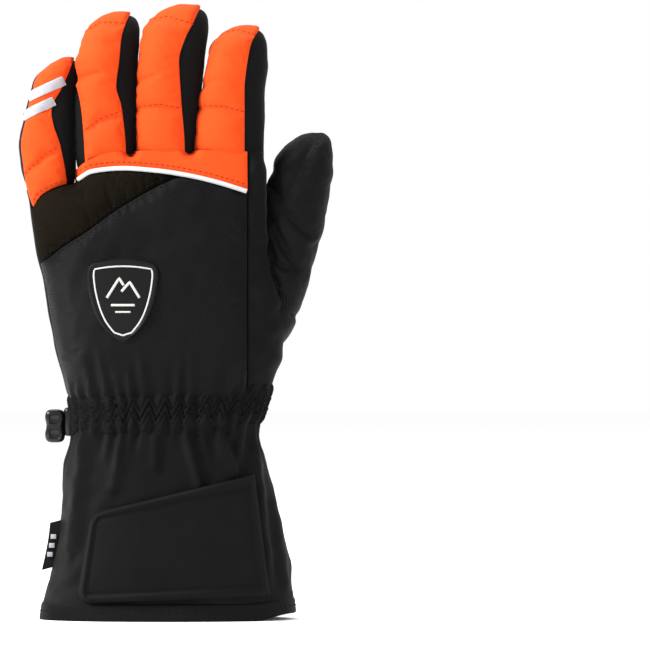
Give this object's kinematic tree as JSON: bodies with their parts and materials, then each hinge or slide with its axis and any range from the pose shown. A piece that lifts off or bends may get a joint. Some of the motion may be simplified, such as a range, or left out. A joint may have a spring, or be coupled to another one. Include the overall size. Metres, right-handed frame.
{
  "type": "ski glove",
  "caption": "Left-hand insulated ski glove with padded finger backs, elastic wrist, hook-and-loop cuff strap and a pair clip.",
  "frame": {"origin": "centre of the bounding box's bottom face, under the hem", "axes": "+Z from the hem to the fingertips, -Y out of the back of the hand, +X to the thumb side"},
  "size_m": [0.149, 0.0624, 0.2886],
  "materials": {
    "orange_ripstop": "padded nylon ripstop, matte orange",
    "black_twill": "black woven twill, matte",
    "black_softshell": "black softshell stretch fabric, matte",
    "olive_grip": "embossed olive-black synthetic leather, matte",
    "reflective_grey": "light grey reflective tape, satin",
    "white_piping": "white covered cord",
    "fleece_lining": "brushed fleece lining",
    "wadding": "white polyester wadding",
    "membrane_film": "waterproof membrane film",
    "elastic": "woven elastic tape",
    "rubber": "moulded rubber, matte",
    "woven_label": "woven damask tape",
    "hook_tape": "hook tape",
    "loop_tape": "loop tape",
    "acetal": "moulded acetal, semi-matte"
  },
  "bodies": {
    "cuff": {"cuff_shell": "black_twill", "cuff_wadding": "wadding", "cuff_lining": "fleece_lining", "hem_binding": "black_twill", "loop_patch": "loop_tape", "strap_anchor": "black_twill", "label": "woven_label", "clip_loop": "elastic", "wrist_gaiter": "black_twill", "wrist_elastic": "elastic", "wrist_lining": "fleece_lining"},
    "hand": {"hand_back": "black_twill", "hand_wadding": "wadding", "hand_lining": "fleece_lining", "membrane": "membrane_film", "knuckle_panel": "olive_grip", "orange_band": "orange_ripstop", "piping": "white_piping", "badge": "rubber", "index_side": "black_softshell", "pinky_side": "black_softshell", "palm_grip": "olive_grip", "palm_stretch": "black_softshell"},
    "pinky_finger": {"pinky_back_pad": "orange_ripstop", "pinky_grip": "olive_grip", "pinky_lining": "fleece_lining", "pinky_shell": "black_softshell", "pinky_stripe_1": "reflective_grey", "pinky_stripe_2": "reflective_grey", "pinky_wadding": "wadding"},
    "ring_finger": {"ring_back_pad": "orange_ripstop", "ring_grip": "olive_grip", "ring_lining": "fleece_lining", "ring_shell": "black_softshell", "ring_wadding": "wadding"},
    "middle_finger": {"middle_back_pad": "orange_ripstop", "middle_grip": "olive_grip", "middle_lining": "fleece_lining", "middle_shell": "black_softshell", "middle_wadding": "wadding"},
    "index_finger": {"index_back_pad": "orange_ripstop", "index_grip": "olive_grip", "index_lining": "fleece_lining", "index_shell": "black_softshell", "index_wadding": "wadding"},
    "thumb": {"thumb_back_panel": "black_twill", "thumb_grip": "olive_grip", "thumb_lining": "fleece_lining", "thumb_shell": "black_softshell", "thumb_wadding": "wadding"},
    "strap_tab": {"strap": "black_twill", "hook_patch": "hook_tape"},
    "clip": {"clip_socket": "acetal"}
  },
  "joints": [
    {"name": "wrist_flex", "type": "hinge", "parent": "cuff", "child": "hand", "pos_m": [-0.00113, 0.00219, 0.0988], "axis": [-1, 0, 0], "range_deg": [-20, 25], "deforming": ["wrist_gaiter", "wrist_elastic", "wrist_lining"]},
    {"name": "pinky_flex", "type": "hinge", "parent": "hand", "child": "pinky_finger", "pos_m": [-0.06213, 0.01639, 0.20904], "axis": [-1, 0, 0], "range_deg": [0, 70]},
    {"name": "ring_flex", "type": "hinge", "parent": "hand", "child": "ring_finger", "pos_m": [-0.03353, 0.01639, 0.21219], "axis": [-1, 0, 0], "range_deg": [0, 70]},
    {"name": "middle_flex", "type": "hinge", "parent": "hand", "child": "middle_finger", "pos_m": [-0.00473, 0.01639, 0.21535], "axis": [-1, 0, 0], "range_deg": [0, 70]},
    {"name": "index_flex", "type": "hinge", "parent": "hand", "child": "index_finger", "pos_m": [0.02727, 0.01639, 0.21887], "axis": [-1, 0, 0], "range_deg": [0, 70]},
    {"name": "thumb_flex", "type": "hinge", "parent": "hand", "child": "thumb", "pos_m": [0.05237, 0.02399, 0.1576], "axis": [-1, 0, 0], "range_deg": [0, 40]},
    {"name": "strap_peel", "type": "hinge", "parent": "cuff", "child": "strap_tab", "pos_m": [0.03637, -0.02461, 0.012], "axis": [0, 0.1099, 0.9939], "range_deg": [0, 105]},
    {"name": "clip_swivel", "type": "hinge", "parent": "cuff", "child": "clip", "pos_m": [-0.05433, 0.00219, 0.0914], "axis": [0, 0, 1], "range_deg": [-65, 65]}
  ]
}
